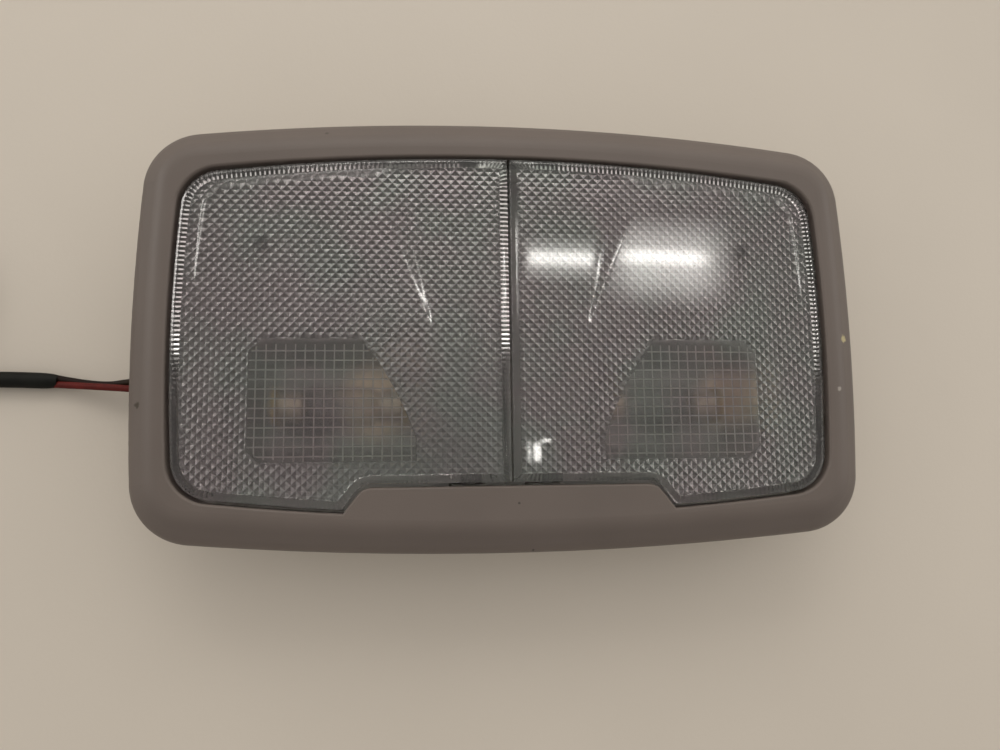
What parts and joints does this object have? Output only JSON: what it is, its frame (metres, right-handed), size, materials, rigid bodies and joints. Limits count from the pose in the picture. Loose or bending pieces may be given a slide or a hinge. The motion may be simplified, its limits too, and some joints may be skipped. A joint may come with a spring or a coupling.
{
  "type": "car dome light",
  "caption": "Car dome light: a rounded bezel round two push-lenses side by side, each working a switch for its own festoon bulb, in a roof housing with a wired lead.",
  "frame": {"origin": "middle of the light, at the back of its housing", "axes": "+Z out of the lenses, +X along the longer side to the right lens, +Y to the edge without the tab"},
  "size_m": [0.2746, 0.1147, 0.0333],
  "materials": {
    "bezel_plastic": "fine matt grain, warm grey, lightly scuffed",
    "housing_plastic": "plain moulded",
    "screw_steel": "zinc plated",
    "lens_plastic": "clear, patterned underneath",
    "reflector_plastic": "metallised",
    "bulb_glass": "clear",
    "bulb_metal": "nickel plated",
    "strip_brass": "plain stamped",
    "switch_case": "plain moulded",
    "switch_plunger": "plain moulded",
    "grommet_rubber": "matt",
    "red_insulation": "soft insulation",
    "dark_insulation": "soft insulation",
    "lead_sheath": "soft, slightly dusty",
    "tie_plastic": "plain",
    "connector_plastic": "plain moulded"
  },
  "bodies": {
    "base": {"bezel": "bezel_plastic", "housing": "housing_plastic", "housing_screws": "screw_steel", "reflector_left": "reflector_plastic", "reflector_right": "reflector_plastic", "bulb_glass_left": "bulb_glass", "bulb_glass_right": "bulb_glass", "bulb_caps_left": "bulb_metal", "bulb_caps_right": "bulb_metal", "bulb_filament_left": "bulb_metal", "bulb_filament_right": "bulb_metal", "feed_strip": "strip_brass", "earth_strip": "strip_brass", "switched_strip_left": "strip_brass", "switched_strip_right": "strip_brass", "switch_body_left": "switch_case", "switch_body_right": "switch_case", "cable_grommet": "grommet_rubber", "red_wire": "red_insulation", "black_wire": "dark_insulation", "cable_sheath": "lead_sheath", "cable_coil": "lead_sheath", "cable_tail": "lead_sheath", "cable_tie": "tie_plastic", "cable_connector": "connector_plastic"},
    "left_lens": {"lens_left": "lens_plastic"},
    "right_lens": {"lens_right": "lens_plastic"},
    "left_plunger": {"switch_plunger_left": "switch_plunger"},
    "right_plunger": {"switch_plunger_right": "switch_plunger"}
  },
  "joints": [
    {"name": "left_lens_press", "type": "hinge", "parent": "base", "child": "left_lens", "pos_m": [-0.0095, 0, 0.021], "axis": [0, -1, 0], "range_deg": [0, 3], "stiffness_Nm_per_rad": 0.6, "springref_deg": -1.72},
    {"name": "right_lens_press", "type": "hinge", "parent": "base", "child": "right_lens", "pos_m": [0.0095, 0, 0.021], "axis": [0, 1, 0], "range_deg": [0, 3], "stiffness_Nm_per_rad": 0.6, "springref_deg": -1.72},
    {"name": "left_plunger_slide", "type": "slide", "parent": "base", "child": "left_plunger", "axis": [0, 0, -1], "range_m": [0, 0.0026]},
    {"name": "right_plunger_slide", "type": "slide", "parent": "base", "child": "right_plunger", "axis": [0, 0, -1], "range_m": [0, 0.0026]}
  ],
  "couplings": [
    {"joint": "left_plunger_slide", "follows": "left_lens_press", "m_per_rad": 0.0485},
    {"joint": "right_plunger_slide", "follows": "right_lens_press", "m_per_rad": 0.0485}
  ]
}
